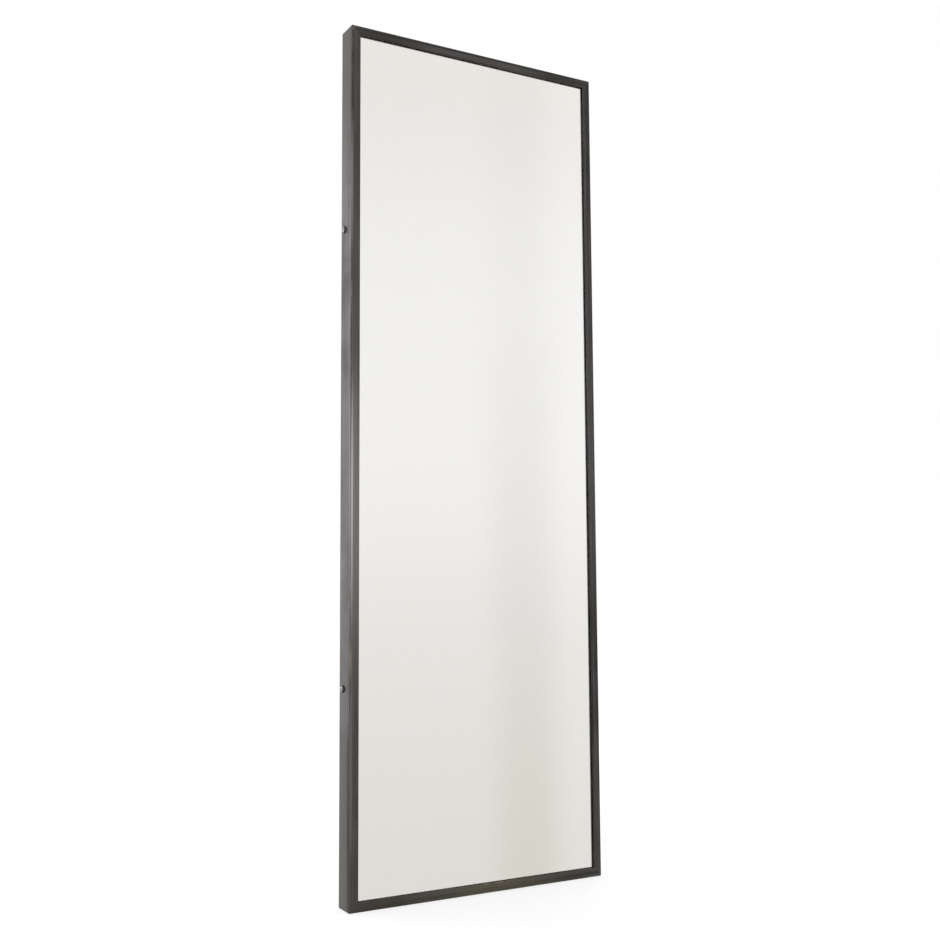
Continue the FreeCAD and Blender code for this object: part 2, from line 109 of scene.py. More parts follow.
def partsOf(vector):
    return follow("ShaderNodeSeparateXYZ", {0: vector})


def joined(x, y, z=0.0):
    return follow("ShaderNodeCombineXYZ", {0: x, 1: y, 2: z})[0]


def weighed(values, weights):
    total = 0.0
    for value, weight in zip(values, weights):
        total = plus(total, times(value, weight))
    return total


def blend(factor, a, b, mode="MIX"):
    return follow("ShaderNodeMix", {0: factor, 6: a, 7: b}, data_type="RGBA", blend_type=mode)[2]


# lays colours over the first one, each where its mask shows it
def layered(colour, *layers):
    for mask, over in layers:
        colour = blend(mask, colour, over)
    return colour


def ease(value, fromLow, fromHigh, toLow=0.0, toHigh=1.0):
    inputs = {0: value, 1: fromLow, 2: fromHigh, 3: toLow, 4: toHigh}
    return follow("ShaderNodeMapRange", inputs, interpolation_type="SMOOTHSTEP")[0]


def level(value, toLow, toHigh):
    return follow("ShaderNodeMapRange", {0: value, 3: toLow, 4: toHigh})[0]


def noise(place, scale, detail=3.0, roughness=0.55):
    inputs = {"Vector": place, "Scale": scale, "Detail": detail, "Roughness": roughness}
    return follow("ShaderNodeTexNoise", inputs)[0]


def voronoi(place, scale):
    return follow("ShaderNodeTexVoronoi", {"Vector": place, "Scale": scale})


# shader groups: each takes a Position and its own inputs, and puts out masks

def startGroup(name, inputs):
    group = bpy.data.node_groups.new(name, "ShaderNodeTree")
    inputs = {"Position": origin, **inputs}
    for label, value in inputs.items():
        kind = "NodeSocketVector" if isinstance(value, tuple) else "NodeSocketFloat"
        group.interface.new_socket(label, in_out="INPUT", socket_type=kind).default_value = value
    given = addNode(group, "NodeGroupInput").outputs
    return group, [given[label] for label in inputs]


def endGroup(group, outputs):
    for label in outputs:
        group.interface.new_socket(label, in_out="OUTPUT", socket_type="NodeSocketFloat")
    addNode(group, "NodeGroupOutput", outputs)
    return group


def useGroup(group, place, values):
    return follow("ShaderNodeGroup", {"Position": place, **values}, node_tree=group)


def maskOf(group, place, values):
    return useGroup(group, place, values)["Mask"]


# lines drawn along X: soft streaks, and a few thin scratches
grainShape = {"streakEdge": (0.36, 0.64), "finer": (1.7, 2.3, 2.3), "scratchDetail": 2.0, "rarest": 0.86,
              "shareSpan": 0.35, "scratchEdge": 0.05}


def makeBrushGrain():
    s = grainShape
    inputs = {"Length": 0.1, "Width": 0.001, "Scratch Share": 0.3}
    group, (place, length, width, share) = startGroup("brushGrain", inputs)
    drawn = vectorPer(place, joined(length, width, width))
    streaks = ease(noise(drawn, 1.0), *s["streakEdge"])
    finer = noise(vectorTimes(drawn, s["finer"]), 1.0, s["scratchDetail"])
    limit = minus(s["rarest"], times(share, s["shareSpan"]))
    scratches = ease(finer, limit, plus(limit, s["scratchEdge"]))
    return endGroup(group, {"Streaks": streaks, "Scratches": scratches})


# soft blotches: Cover moves the share of the surface that they take
patchShape = {"detail": 4.0, "roughness": 0.6, "fewest": 0.85, "coverSpan": 0.7}


def makePatches():
    s = patchShape
    inputs = {"Size": 0.1, "Cover": 0.5, "Softness": 0.12}
    group, (place, size, cover, softness) = startGroup("patches", inputs)
    cloud = noise(place, per(1.0, size), s["detail"], s["roughness"])
    middle = minus(s["fewest"], times(cover, s["coverSpan"]))
    return endGroup(group, {"Mask": ease(cloud, minus(middle, softness), plus(middle, softness))})


# wear that fades with the distance from an edge and is broken up along it
wearShape = {"full": 0.4, "detail": 5.0, "roughness": 0.65, "leastWorn": 0.72, "amountSpan": 0.4, "bare": 0.8}


def makeEdgeWear():
    s = wearShape
    inputs = {"Distance": 1.0, "Reach": 0.003, "Break Size": 0.05, "Amount": 0.5}
    group, (place, distance, reach, size, amount) = startGroup("edgeWear", inputs)
    near = ease(distance, times(reach, s["full"]), reach, 1.0, 0.0)
    broad = noise(place, per(1.0, size), s["detail"], s["roughness"])
    broken = ease(broad, minus(s["leastWorn"], times(amount, s["amountSpan"])), s["bare"])
    return endGroup(group, {"Mask": times(near, broken)})


# one mark, for rubbed and darker places and for painted sheen and highlight: a soft spot at Centre with its
# half lengths in Reach
wearAndSheenShape = {"full": 0.1, "scale": 3.0, "detail": 4.0}


def makeWearAndSheenMark():
    s = wearAndSheenShape
    inputs = {"Centre": origin, "Reach": (1.0, 1.0, 1.0), "Break Up": 0.5, "Strength": 1.0}
    group, (place, centre, reach, breakUp, strength) = startGroup("rubMark", inputs)
    share = vectorPer(vectorMinus(place, centre), reach)
    soft = ease(lengthOf(share), s["full"], 1.0, 1.0, 0.0)
    rough = times(noise(share, s["scale"], s["detail"]), breakUp)
    return endGroup(group, {"Mask": times(minus(soft, rough, True), strength, True)})


# small specks, as dust or pores: Share is how many cells have one
def makeSpecks():
    inputs = {"Cell": 0.004, "Speck": 0.25, "Share": 0.4}
    group, (place, cell, speck, share) = startGroup("specks", inputs)
    cells = voronoi(place, per(1.0, cell))
    pick = follow("ShaderNodeSeparateColor", {0: cells["Color"]})[0]
    dot = ease(cells["Distance"], times(speck, 0.5), speck, 1.0, 0.0)
    return endGroup(group, {"Mask": times(dot, maths("LESS_THAN")(pick, share))})


# sawn wood with the grain along X: growth rings round a wandering pith, fibres and knots
figureShape = {"slow": (1.6, 0.4, 0.4), "slowDetail": 2.0, "unevenScale": 24.0, "uneven": 0.28,
               "lateFrom": 0.2, "lateTo": 0.94, "latePower": 1.6, "fibre": (28.0, 1900.0, 1900.0),
               "fibreDetail": 2.0, "knotScale": 8.5}


def makeWoodFigure():
    s = figureShape
    inputs = {"Ring Width": 0.003, "Pith": (0.0, 0.03, 0.07), "Wander": 0.02, "Knot Size": 0.05}
    group, (place, ringWidth, pith, wander, knotSize) = startGroup("woodFigure", inputs)
    slow = {"Vector": vectorTimes(place, s["slow"]), "Scale": 1.0, "Detail": s["slowDetail"]}
    bend = follow("ShaderNodeTexNoise", slow)["Color"]
    shift = scaled(vectorMinus(bend, noiseMiddle), wander)
    there = vectorPlus(vectorMinus(place, pith), shift)
    turns = per(lengthOf(vectorTimes(there, (0.0, 1.0, 1.0))), ringWidth)
    saw = maths("FRACT")(plus(turns, times(noise(place, s["unevenScale"]), s["uneven"])))
    late = maths("POWER")(ease(saw, s["lateFrom"], s["lateTo"]), s["latePower"])
    rings = times(late, ease(saw, s["lateTo"], 1.0, 1.0, 0.0))
    fibres = noise(vectorTimes(place, s["fibre"]), 1.0, s["fibreDetail"])
    knots = ease(voronoi(place, s["knotScale"])["Distance"], 0.0, knotSize, 1.0, 0.0)
    return endGroup(group, {"Rings": rings, "Fibres": fibres, "Knots": knots})


brushGrain, patches, edgeWear = makeBrushGrain(), makePatches(), makeEdgeWear()
rubMark, specks, woodFigure = makeWearAndSheenMark(), makeSpecks(), makeWoodFigure()


# build takes the Object coordinates and gives the inputs of the Principled shader
def makeFinish(name, metallic, build, *values):
    material = bpy.data.materials.new(name)
    material.use_nodes = True
    tree = material.node_tree
    place = addNode(tree, "ShaderNodeTexCoord").outputs["Object"]
    setInputs(tree.nodes["Principled BSDF"], {"Metallic": metallic, **build(place, *values)})
    return material


# patterns are drawn along X: upright turns them so that they run along Z
upright, levelRun = (0.0, quarterTurn, 0.0), origin


def turned(place, turn):
    return follow("ShaderNodeMapping", {"Vector": place, "Rotation": turn})[0]


def bumpOf(height, distance, strength):
    return follow("ShaderNodeBump", {"Height": height, "Distance": distance, "Strength": strength})[0]


# overall sizes read from the frame
leftLow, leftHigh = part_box("frame_left_stile")
frontY, rimY = leftLow.y, leftHigh.y
halfWidth, tall = -leftLow.x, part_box("frame_top_rail")[1].z
faceWidth = leftHigh.x - leftLow.x
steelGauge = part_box("glazing_tape_left")[0].y - frontY


steelLook = {
    "dark": (0.028, 0.0265, 0.0262, 1),
    "light": (0.113, 0.108, 0.107, 1),
    "pale": (0.165, 0.158, 0.160, 1),
    "bright": (0.56, 0.55, 0.55, 1),
    "brown": (0.058, 0.050, 0.041, 1),
    "black": (0.016, 0.015, 0.015, 1),
    "rubbedAndSheen": (0.36, 0.35, 0.345, 1),
    "gold": (0.30, 0.275, 0.17, 1),
    "grain": {"Length": 0.11, "Width": 0.0011, "Scratch Share": 0.35},
    "bands": {"Length": 0.40, "Width": 0.0040},
    "mottle": {"Size": 0.07, "Softness": 0.2},
    "stain": {"Size": 0.15, "Cover": 0.42},
    "wear": {"Reach": 0.0032, "Break Size": 0.10, "Amount": 0.55},
    # what grain, mottle and bands each add to the tone, and mottle and stain to the dullness
    "toneParts": (0.30, 0.20, 0.50),
    "dullParts": (0.6, 0.4),
    # how strongly the stain shows between the streaks and on them
    "stainShown": (0.12, 0.55),
    "scratchShown": 0.22,
    "wearShown": 0.62,
    "scratchDepth": 0.8,
    "rough": (0.31, 0.47),
    "bump": (0.02 * mm, 0.6),
    # marks: centre, half lengths, break-up, strength, colour; rubbed and darker places, and on the left stile
    # a painted sheen and a painted highlight
    "uprightMarks": [
        ((-0.300, -0.012, 0.08), (0.004, 0.055, 0.40), 0.20, 0.75, "pale"),
        ((-0.300, -0.012, 1.68), (0.004, 0.055, 0.45), 0.20, 0.60, "pale"),
        ((-0.300, -0.012, 0.62), (0.004, 0.055, 0.17), 0.20, 0.22, "pale"),
        ((-0.300, -0.012, 1.20), (0.004, 0.055, 0.26), 0.20, 0.42, "black"),
        # painted sheen: the left stile's front lighter at mid height, broad
        ((-0.290, -0.050, 0.82), (0.040, 0.012, 1.00), 0.20, 0.17, "rubbedAndSheen"),
        # the right stile's front a little lighter at mid height
        ((0.290, -0.050, 0.88), (0.040, 0.012, 0.50), 0.20, 0.10, "rubbedAndSheen"),
        # painted sheen: the left stile's front lighter at mid height, stronger in the middle
        ((-0.290, -0.050, 0.79), (0.040, 0.012, 0.44), 0.25, 0.40, "rubbedAndSheen"),
        # painted highlight and wear: a bright line along the left stile's fold, and lighter high up on it
        ((-0.2962, -0.0500, 0.81), (0.0040, 0.0028, 0.36), 0.25, 1.00, "bright"),
        ((-0.2980, -0.0490, 1.46), (0.005, 0.006, 0.25), 0.40, 0.62, "rubbedAndSheen"),
        ((-0.2975, -0.0495, 0.25), (0.006, 0.004, 0.33), 0.30, 0.35, "rubbedAndSheen"),
        ((-0.2980, -0.0495, 0.485), (0.0040, 0.005, 0.055), 0.30, 0.75, "gold"),
        # darker strips along the left side next to the fold, low down
        ((-0.300, -0.0445, 0.20), (0.004, 0.0075, 0.36), 0.10, 0.90, "black"),
        ((-0.300, -0.0415, 0.55), (0.004, 0.0110, 0.62), 0.20, 0.40, "black"),
        ((-0.2975, -0.0490, 1.792), (0.006, 0.006, 0.008), 0.70, 0.35, "rubbedAndSheen"),
    ],
    "levelMarks": [
        ((-0.220, -0.050, 0.010), (0.130, 0.012, 0.040), 0.20, 0.60, "brown"),
        ((0.015, -0.050, 0.010), (0.260, 0.012, 0.040), 0.25, 0.19, "gold"),
        ((-0.220, -0.050, 1.790), (0.120, 0.012, 0.040), 0.20, 0.24, "black"),
        ((0.230, -0.050, 1.790), (0.150, 0.012, 0.040), 0.20, 0.42, "black"),
        ((0.010, -0.050, 0.0186), (0.013, 0.003, 0.0016), 0.30, 0.80, "gold"),
        ((0.042, -0.050, 0.0186), (0.016, 0.003, 0.0016), 0.30, 0.80, "gold"),
        ((-0.2930, -0.0490, 1.7975), (0.009, 0.006, 0.006), 0.70, 0.3, "rubbedAndSheen"),
    ],
}


# distance from the nearest fold or corner of the frame
def edgeDistance(place):
    x, y, z = partsOf(place)
    fromSide = minus(halfWidth, absolute(x))
    fromEnd = least(z, minus(tall, z))
    toFold = lengthOf(joined(least(fromSide, fromEnd), minus(y, frontY)))
    return least(toFold, lengthOf(joined(fromSide, fromEnd)))


def steelInputs(place, turn, marks):
    look = steelLook
    along = turned(place, turn)
    grain = useGroup(brushGrain, along, look["grain"])
    bands = useGroup(brushGrain, along, look["bands"])["Streaks"]
    mottle = maskOf(patches, place, look["mottle"])
    stain = maskOf(patches, along, look["stain"])
    worn = maskOf(edgeWear, place, {"Distance": edgeDistance(place), **look["wear"]})
    tone = weighed((grain["Streaks"], mottle, bands), look["toneParts"])
    drawnStain = times(stain, level(grain["Streaks"], *look["stainShown"]))
    colour = layered(look["dark"], (tone, look["light"]), (drawnStain, look["brown"]),
                     (times(grain["Scratches"], look["scratchShown"]), look["rubbedAndSheen"]),
                     (times(worn, look["wearShown"]), look["rubbedAndSheen"]))
    for centre, reach, breakUp, strength, shade in marks:
        mark = {"Centre": centre, "Reach": reach, "Break Up": breakUp, "Strength": strength}
        colour = blend(maskOf(rubMark, place, mark), colour, look[shade])
    dull = weighed((mottle, stain), look["dullParts"])
    height = minus(grain["Streaks"], times(grain["Scratches"], look["scratchDepth"]))
    return {"Base Color": colour, "Roughness": level(dull, *look["rough"]),
            "Normal": bumpOf(height, *look["bump"])}


uprightSteel = makeFinish("wornSteelUpright", 1.0, steelInputs, upright, steelLook["uprightMarks"])
levelSteel = makeFinish("wornSteelLevel", 1.0, steelInputs, levelRun, steelLook["levelMarks"])


weldLook = {"dark": (0.045, 0.042, 0.040, 1), "blued": (0.060, 0.058, 0.072, 1),
            "straw": (0.11, 0.085, 0.05, 1), "heat": {"Size": 0.012, "Softness": 0.2},
            "soot": {"Cell": 0.0012, "Speck": 0.4, "Share": 0.4}, "rough": (0.34, 0.55)}


def weldInputs(place):
    look = weldLook
    heat = maskOf(patches, place, look["heat"])
    soot = maskOf(specks, place, look["soot"])
    return {"Base Color": layered(look["blued"], (heat, look["straw"]), (soot, look["dark"])),
            "Roughness": level(heat, *look["rough"])}


# crown: where the painted highlight and rubbed wear on the top of a head begins and ends, as a height above
# the side of the frame
metalLooks = {
    "screwSteel": {"dark": (0.036, 0.035, 0.034, 1), "light": (0.11, 0.107, 0.104, 1),
                   "rust": (0.07, 0.046, 0.029, 1), "grain": 0.0035, "rough": (0.24, 0.40),
                   "crown": (2.9 * mm, 4.8 * mm), "rubbedAndSheen": (0.58, 0.575, 0.57, 1)},
    "zincPlate": {"dark": (0.50, 0.50, 0.48, 1), "light": (0.70, 0.71, 0.70, 1),
                  "rust": (0.42, 0.39, 0.31, 1), "grain": 0.004, "rough": (0.24, 0.42)},
}
metalGrain = {"softness": 0.22, "stainSize": 3, "stainCover": 0.25, "stainShown": 0.5, "crownShown": 0.95,
              "pits": {"Cell": 0.0006, "Speck": 0.35, "Share": 0.3}, "bump": (0.02 * mm, 0.5)}


def metalInputs(place, look):
    s = metalGrain
    cloud = maskOf(patches, place, {"Size": look["grain"], "Softness": s["softness"]})
    stain = maskOf(patches, place, {"Size": s["stainSize"] * look["grain"], "Cover": s["stainCover"]})
    pits = maskOf(specks, place, s["pits"])
    colour = layered(look["dark"], (cloud, look["light"]), (times(stain, s["stainShown"]), look["rust"]))
    if "crown" in look:
        # painted highlight, and wear, on the crown of each side screw's head
        proud = minus(absolute(partsOf(place)[0]), halfWidth)
        colour = blend(ease(proud, *look["crown"], 0.0, s["crownShown"]), colour, look["rubbedAndSheen"])
    return {"Base Color": colour, "Roughness": level(cloud, *look["rough"]),
            "Normal": bumpOf(minus(cloud, pits), *s["bump"])}


weldSteel = makeFinish("weldSteel", 1.0, weldInputs)
screwSteel, zincPlate = (makeFinish(name, 1.0, metalInputs, look) for name, look in metalLooks.items())


woodLooks = {
    "pine": {"early": (0.71, 0.50, 0.28, 1), "late": (0.49, 0.27, 0.11, 1), "knot": (0.13, 0.05, 0.02, 1),
             "figure": {"Ring Width": 0.0034, "Wander": 0.022, "Knot Size": 0.075},
             "contrast": 0.85, "pores": 0.20},
    "plywood": {"early": (0.68, 0.50, 0.31, 1), "late": (0.54, 0.36, 0.20, 1), "knot": (0.26, 0.13, 0.06, 1),
                "figure": {"Ring Width": 0.011, "Wander": 0.16, "Knot Size": 0.035},
                "contrast": 0.55, "pores": 0.24},
    "beech": {"early": (0.62, 0.41, 0.24, 1), "late": (0.50, 0.31, 0.17, 1), "knot": (0.4, 0.24, 0.13, 1),
              "figure": {"Ring Width": 0.0016, "Wander": 0.004, "Knot Size": 0.0},
              "contrast": 0.4, "pores": 0.30},
}
woodGrain = {"board": {"Size": 0.22, "Softness": 0.25}, "boardShown": 0.16, "fibreEdge": (0.42, 0.70),
             "fibreShown": 0.42, "poreDrawn": (0.06, 1.0, 1.0),
             "pore": {"Cell": 0.0013, "Speck": 0.30, "Share": 0.32}, "ringHeight": 0.6,
             "rough": (0.52, 0.74), "bump": (0.06 * mm, 0.5)}


def woodInputs(place, kind, turn, pith):
    look, s = woodLooks[kind], woodGrain
    along = turned(place, turn)
    figure = useGroup(woodFigure, along, {"Pith": pith, **look["figure"]})
    board = level(maskOf(patches, along, s["board"]), 0.0, s["boardShown"])
    pores = maskOf(specks, vectorTimes(along, s["poreDrawn"]), s["pore"])
    fibres = ease(figure["Fibres"], *s["fibreEdge"], 0.0, s["fibreShown"])
    colour = layered(look["early"], (times(figure["Rings"], look["contrast"]), look["late"]),
                     (board, look["late"]), (fibres, look["late"]),
                     (times(pores, look["pores"]), look["knot"]), (figure["Knots"], look["knot"]))
    height = plus(figure["Fibres"], times(figure["Rings"], s["ringHeight"]))
    return {"Base Color": colour, "Roughness": level(figure["Fibres"], *s["rough"]),
            "Normal": bumpOf(height, *s["bump"])}


# finish, kind, run of the grain and place of the pith for each wooden node
woodPieces = {
    "timber_left_stile": ("pineLeft", "pine", upright, (0.0, 0.035, 0.30)),
    "timber_right_stile": ("pineRight", "pine", upright, (0.0, -0.085, -0.24)),
    "timber_top_rail": ("pineTop", "pine", levelRun, (0.0, 0.05, 1.74)),
    "timber_middle_rail": ("pineMiddle", "pine", levelRun, (0.0, -0.09, 0.93)),
    "timber_bottom_rail": ("pineBottom", "pine", levelRun, (0.0, 0.045, 0.05)),
    "back_board": ("birchPlywood", "plywood", upright, (0.0, 0.16, 0.02)),
    "rail_dowels": ("beech", "beech", levelRun, (0.0, 0.03, 0.0)),
}
woodFinishes = {node: makeFinish(wood[0], 0.0, woodInputs, *wood[1:]) for node, wood in woodPieces.items()}


softLooks = {
    "glazingFoam": {"base": (0.075, 0.075, 0.076, 1), "pore": (0.032, 0.032, 0.032, 1), "cell": 0.0008},
    "bondingFoam": {"base": (0.62, 0.62, 0.60, 1), "pore": (0.36, 0.36, 0.35, 1), "cell": 0.0007},
    "blockRubber": {"base": (0.030, 0.029, 0.028, 1), "pore": (0.06, 0.058, 0.056, 1), "cell": 0.0011},
}
softGrain = {"pores": {"Speck": 0.5, "Share": 0.6}, "rough": (0.72, 0.9), "bump": (0.1 * mm, 0.6)}


def softInputs(place, look):
    pores = maskOf(specks, place, {"Cell": look["cell"], **softGrain["pores"]})
    return {"Base Color": blend(pores, look["base"], look["pore"]),
            "Roughness": level(pores, *softGrain["rough"]),
            "Normal": bumpOf(minus(1.0, pores), *softGrain["bump"])}


glazingFoam, bondingFoam, blockRubber = (makeFinish(name, 0.0, softInputs, look)
                                         for name, look in softLooks.items())


mirrorLook = {"silver": (0.908, 0.902, 0.896, 1), "silverCloud": {"Size": 0.5, "Softness": 0.3},
              "silverRough": (0.0, 0.006), "clear": (0.991, 0.992, 0.988, 1), "refraction": 1.52,
              "wiped": {"Size": 0.35, "Cover": 0.4, "Softness": 0.2}, "wipedRough": (0.0, 0.012),
              "paint": (0.155, 0.165, 0.175, 1), "film": (0.21, 0.22, 0.23, 1),
              "paintCloud": {"Size": 0.06, "Softness": 0.25}, "paintRough": (0.35, 0.5)}


def glassInputs(place):
    wiped = maskOf(patches, place, mirrorLook["wiped"])
    return {"Base Color": mirrorLook["clear"], "Transmission Weight": 1.0, "IOR": mirrorLook["refraction"],
            "Roughness": level(wiped, *mirrorLook["wipedRough"])}


def silverInputs(place):
    cloud = maskOf(patches, place, mirrorLook["silverCloud"])
    return {"Base Color": mirrorLook["silver"], "Roughness": level(cloud, *mirrorLook["silverRough"])}


def paintInputs(place):
    cloud = maskOf(patches, place, mirrorLook["paintCloud"])
    return {"Base Color": blend(cloud, mirrorLook["paint"], mirrorLook["film"]),
            "Roughness": level(cloud, *mirrorLook["paintRough"])}


clearGlass = makeFinish("clearGlass", 0.0, glassInputs)
mirrorSilver = makeFinish("mirrorSilver", 1.0, silverInputs)
backingPaint = makeFinish("backingPaint", 0.0, paintInputs)
print("finishes made:", len(bpy.data.materials), "materials")


# mesh building

def newPiece(name, mesh, *materials):
    piece = bpy.data.objects.new(name, mesh)
    scene.collection.objects.link(piece)
    for material in materials:
        piece.data.materials.append(material)
    return piece


meshLimits = {"merge": 1e-6, "sliver": 1e-7, "sharpAngle": 40.0}


def meshFrom(bm, name, sharpAngle=meshLimits["sharpAngle"], merge=True):
    if merge:
        bmesh.ops.remove_doubles(bm, verts=bm.verts[:], dist=meshLimits["merge"])
        bmesh.ops.dissolve_degenerate(bm, dist=meshLimits["sliver"], edges=bm.edges[:])
    bmesh.ops.recalc_face_normals(bm, faces=bm.faces[:])
    for face in bm.faces:
        face.smooth = True
    for edge in bm.edges:
        edge.smooth = edge.calc_face_angle(0.0) < math.radians(sharpAngle)
    mesh = bpy.data.meshes.new(name)
    bm.to_mesh(mesh)
    bm.free()
    return mesh


# rows of points joined round and along into a closed skin
def loft(rows):
    bm = bmesh.new()
    rings = [[bm.verts.new(point) for point in row] for row in rows]
    count = len(rows[0])
    for near, far in zip(rings, rings[1:]):
        for i in range(count):
            j = (i + 1) % count
            bm.faces.new((near[i], near[j], far[j], far[i]))
    bm.faces.new(rings[0][::-1])
    bm.faces.new(rings[-1])
    return bm


# turns what the modifiers give into the piece's own plain mesh
def settle(piece):
    bpy.context.view_layer.update()
    graph = bpy.context.evaluated_depsgraph_get()
    evaluated = piece.evaluated_get(graph)
    mesh = bpy.data.meshes.new_from_object(evaluated, preserve_all_data_layers=True, depsgraph=graph)
    old = piece.data
    piece.modifiers.clear()
    piece.data = mesh
    bpy.data.meshes.remove(old)
    mesh.name = piece.name


def cutAway(piece, cutter):
    tool = newPiece("cutter", cutter)
    cut = piece.modifiers.new("cut", "BOOLEAN")
    cut.operation, cut.solver, cut.object = "DIFFERENCE", "EXACT", tool
    cut.use_self = True   # a folded strip touches itself, and without this nothing of it is left
    settle(piece)
    if not piece.data.polygons:
        raise ValueError(piece.name + " lost its faces in the cut")
    bpy.data.objects.remove(tool)
    bm = bmesh.new()
    bm.from_mesh(piece.data)
    materials = list(piece.data.materials)
    piece.data = meshFrom(bm, piece.name)
    for material in materials:
        piece.data.materials.append(material)


# flat faces keep their own normals and the roundings carry the turn
def evenNormals(piece):
    weights = piece.modifiers.new("weights", "WEIGHTED_NORMAL")
    weights.keep_sharp = True
    settle(piece)


def handOver(piece, body, slot, *replaced):
    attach(piece, body)
    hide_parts(*replaced)


def arc(centre, radius, start, end, steps):
    turns = [math.radians(start + (end - start) * step / steps) for step in range(steps + 1)]
    return [(centre[0] + radius * math.cos(turn), centre[1] + radius * math.sin(turn)) for turn in turns]


def cylinders(places, axis, radius, reach, sides):
    turn = Vector((0, 0, 1)).rotation_difference(Vector(axis)).to_matrix().to_4x4()
    bm = bmesh.new()
    for place in places:
        bmesh.ops.create_cone(bm, cap_ends=True, segments=sides, radius1=radius, radius2=radius,
                              depth=reach, matrix=Matrix.Translation(place) @ turn)
    return meshFrom(bm, "holes", merge=False)


# Geometry Nodes: trees with named inputs, set by identifier before the first evaluation

def startTree(name, inputs):
    tree = bpy.data.node_groups.new(name, "GeometryNodeTree")
    inputs = {"Geometry": "Geometry", **inputs}
    for label, kind in inputs.items():
        tree.interface.new_socket(label, in_out="INPUT", socket_type="NodeSocket" + kind)
    tree.interface.new_socket("Geometry", in_out="OUTPUT", socket_type="NodeSocketGeometry")
    given = addNode(tree, "NodeGroupInput").outputs
    return tree, [given[label] for label in inputs]


def endTree(tree, geometry, metal):
    whole = follow("GeometryNodeRealizeInstances", {0: geometry})[0]
    done = follow("GeometryNodeSetMaterial", {"Geometry": whole, "Material": metal})[0]
    addNode(tree, "NodeGroupOutput", {0: done})
    return tree


def runTree(piece, tree, values):
    modifier = piece.modifiers.new(tree.name, "NODES")
    modifier.node_group = tree
    for item in tree.interface.items_tree:
        if item.in_out == "INPUT" and item.name in values:
            modifier[item.identifier] = values[item.name]
    settle(piece)


def readAttribute(tree, name, kind):
    return addNode(tree, "GeometryNodeInputNamedAttribute", {"Name": name}, data_type=kind).outputs[0]


def turnAbout(axis, turn):
    return follow("FunctionNodeAxisAngleToRotation", {"Axis": axis, "Angle": turn})[0]


def setOnPoints(points, shape, turn):
    return follow("GeometryNodeInstanceOnPoints", {"Points": points, "Instance": shape, "Rotation": turn})[0]


def moved(geometry, offset):
    return follow("GeometryNodeSetPosition", {"Geometry": geometry, "Offset": offset})[0]


def pointSet(name, places, label, values, kind):
    mesh = bpy.data.meshes.new(name)
    mesh.from_pydata(places, [], [])
    layer = mesh.attributes.new(label, kind, "POINT")
    for row, value in zip(layer.data, values):
        if kind == "FLOAT_VECTOR":
            row.vector = value
        else:
            row.value = value
    return newPiece(name, mesh)


# the folded steel frame: an L section swept along each side, mitred at rounded corners
steelFrame = {"foldOutside": 3.0 * mm, "foldInside": 1.0 * mm, "cornerRadius": 3.0 * mm, "lipEase": 0.4 * mm,
              "rimEase": 0.3 * mm, "foldSteps": 8, "easeSteps": 3, "cornerSteps": 6,
              "screwHole": 8.6 * mm, "holeSides": 48}


def foldedSection():
    s = steelFrame
    fold = (s["foldOutside"], frontY + s["foldOutside"])
    lip, rim, steps = s["lipEase"], s["rimEase"], s["easeSteps"]
    outside = arc((rim, rimY - rim), rim, 90, 180, steps)
    outside += arc(fold, s["foldOutside"], 180, 270, s["foldSteps"])
    outside += arc((faceWidth - lip, frontY + lip), lip, 270, 360, steps)
    inside = arc((faceWidth - lip, frontY + steelGauge - lip), lip, 0, 90, steps)
    inside += arc(fold, s["foldInside"], 270, 180, s["foldSteps"] // 2)
    inside += arc((steelGauge - rim, rimY - rim), rim, 0, 90, steps)
    return [(a, y, True) for a, y in outside] + [(a, y, False) for a, y in inside]


def memberRows(length, place):
    corner, steps = steelFrame["cornerRadius"], steelFrame["cornerSteps"]
    rows = []
    for end in (-1, 1):
        for step in range(steps + 1)[::-end]:
            turn = math.pi / 4 * (1 - step / steps)
            row = []
            for inset, depth, rounded in foldedSection():
                across = run = inset
                if rounded and inset < corner:
                    across = corner - (corner - inset) * math.cos(turn)
                    run = corner - (corner - inset) * math.sin(turn)
                row.append(place(across, depth, end * (length / 2 - run)))
            rows.append(row)
    return rows


# heights of the two screws whose heads end at the box of a screw node
def screwHeights(low, high, head):
    return low.z + head / 2, high.z - head / 2


screwLow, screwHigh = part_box("side_screws")
sideDepth = (screwLow.y + screwHigh.y) / 2


def makeMember(name, node, length, place, material, side=0):
    piece = newPiece(name, meshFrom(loft(memberRows(length, place)), name), material)
    if side:
        heights = screwHeights(screwLow, screwHigh, screwHigh.y - screwLow.y)
        places = [(side * halfWidth, sideDepth, height) for height in heights]
        radius, reach = steelFrame["screwHole"] / 2, 4 * steelGauge
        cutAway(piece, cylinders(places, (1, 0, 0), radius, reach, steelFrame["holeSides"]))
    evenNormals(piece)
    handOver(piece, "mirror", "frame_steel", node)


makeMember("steelLeftStile", "frame_left_stile", tall,
           lambda a, y, u: Vector((a - halfWidth, y, tall / 2 + u)), uprightSteel, -1)
makeMember("steelRightStile", "frame_right_stile", tall,
           lambda a, y, u: Vector((halfWidth - a, y, tall / 2 + u)), uprightSteel, 1)
makeMember("steelTopRail", "frame_top_rail", 2 * halfWidth,
           lambda a, y, u: Vector((u, y, tall - a)), levelSteel)
makeMember("steelBottomRail", "frame_bottom_rail", 2 * halfWidth,
           lambda a, y, u: Vector((u, y, a)), levelSteel)
print("steel frame made")


